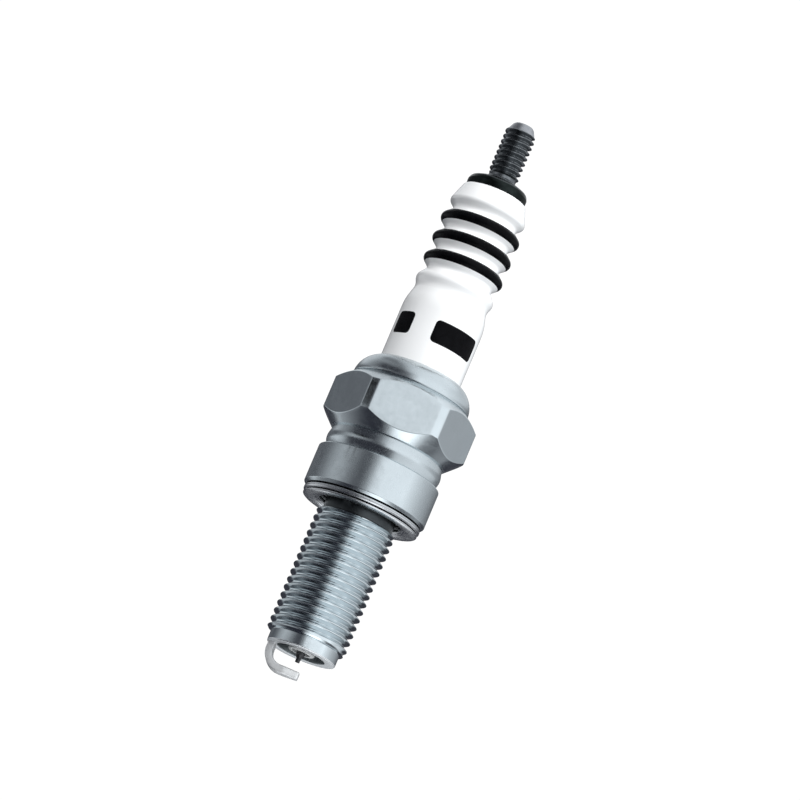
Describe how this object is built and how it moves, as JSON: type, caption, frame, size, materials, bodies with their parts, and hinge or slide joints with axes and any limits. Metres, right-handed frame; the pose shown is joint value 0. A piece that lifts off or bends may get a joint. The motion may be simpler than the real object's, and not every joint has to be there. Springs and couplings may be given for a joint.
{
  "type": "spark plug",
  "caption": "Spark plug with a threaded steel shell, hexagon, folded gasket, ribbed white ceramic insulator, threaded terminal stud and fine-wire centre electrode.",
  "frame": {"origin": "on the plug's axis, at the underside of the gasket, which is the face that rests on the engine's seat", "axes": "+Z along the axis from the firing end towards the terminal; hexagon flats face -Y and +Y; the ground electrode's leg is near -X"},
  "size_m": [0.0178, 0.016, 0.0724],
  "materials": {
    "shell_nickel": "satin nickel plate on steel",
    "gasket_steel": "plated steel sheet",
    "ground_nickel": "bare nickel alloy",
    "insulator_glaze": "glossy white glaze on alumina",
    "stud_steel": "dark plated steel",
    "seal_glass": "copper-filled glass",
    "resistor_paste": "carbon-filled glass",
    "electrode_nickel": "bare nickel alloy",
    "copper": "bare copper",
    "iridium": "drawn iridium wire",
    "weld": "laser weld",
    "seal_steel": "bare steel",
    "talc": "pressed powder"
  },
  "bodies": {
    "plug": {"shell": "shell_nickel", "ground_electrode": "ground_nickel", "insulator": "insulator_glaze", "terminal_stud": "stud_steel", "upper_glass_seal": "seal_glass", "resistor": "resistor_paste", "lower_glass_seal": "seal_glass", "centre_electrode": "electrode_nickel", "centre_electrode_core": "copper", "iridium_tip": "iridium", "tip_weld_bead": "weld", "nose_seal_washer": "seal_steel", "talc_seal": "talc", "lower_seal_ring": "seal_steel", "upper_seal_ring": "seal_steel"},
    "gasket_ring": {"gasket": "gasket_steel"}
  },
  "joints": [
    {"name": "gasket_spin", "type": "hinge", "parent": "plug", "child": "gasket_ring", "pos_m": [0, 0, 0.0005], "axis": [0, 0, 1], "continuous": true}
  ]
}
